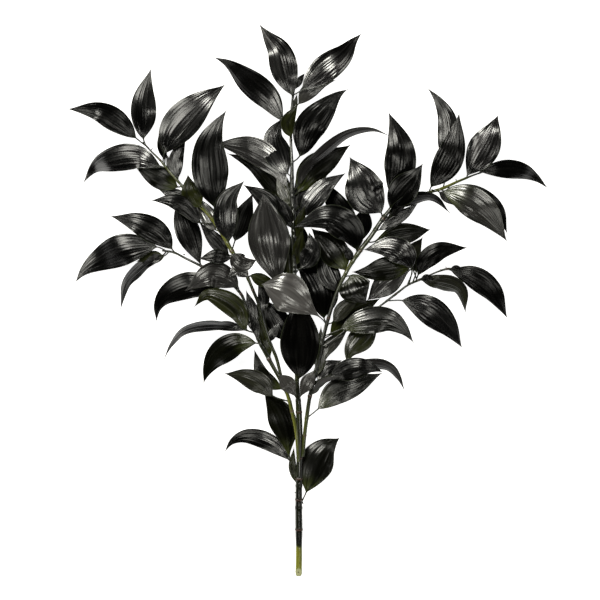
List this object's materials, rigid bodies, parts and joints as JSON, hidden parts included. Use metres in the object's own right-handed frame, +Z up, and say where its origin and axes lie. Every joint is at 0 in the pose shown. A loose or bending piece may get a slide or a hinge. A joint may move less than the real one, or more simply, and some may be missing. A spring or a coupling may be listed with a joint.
{
  "type": "dried ruscus stem",
  "caption": "Preserved ruscus stem with side branches and near-black pointed leaves, cut on a slant and laid down on a flat surface.",
  "frame": {"origin": "middle of the bounding box, on the surface that the stem lies on", "axes": "+Y runs from the cut end to the top leaves, +X to the right seen from above, +Z up from the surface"},
  "size_m": [0.4829, 0.5536, 0.0744],
  "materials": {
    "main_foliage": "satin, preserved leaf: near-black with an olive cast and fine lengthwise veins",
    "left_lower_foliage": "satin, preserved leaf: near-black with an olive cast and fine lengthwise veins",
    "left_upper_foliage": "satin, preserved leaf: near-black with an olive cast and fine lengthwise veins",
    "right_foliage": "satin, preserved leaf: near-black with an olive cast and fine lengthwise veins",
    "right_twig_foliage": "satin, preserved leaf: near-black with an olive cast and fine lengthwise veins"
  },
  "bodies": {
    "root": {"main_stem": "main_foliage", "left_lower_branch": "left_lower_foliage", "left_upper_branch": "left_upper_foliage", "right_branch": "right_foliage", "right_side_twig": "right_twig_foliage"}
  },
  "joints": []
}
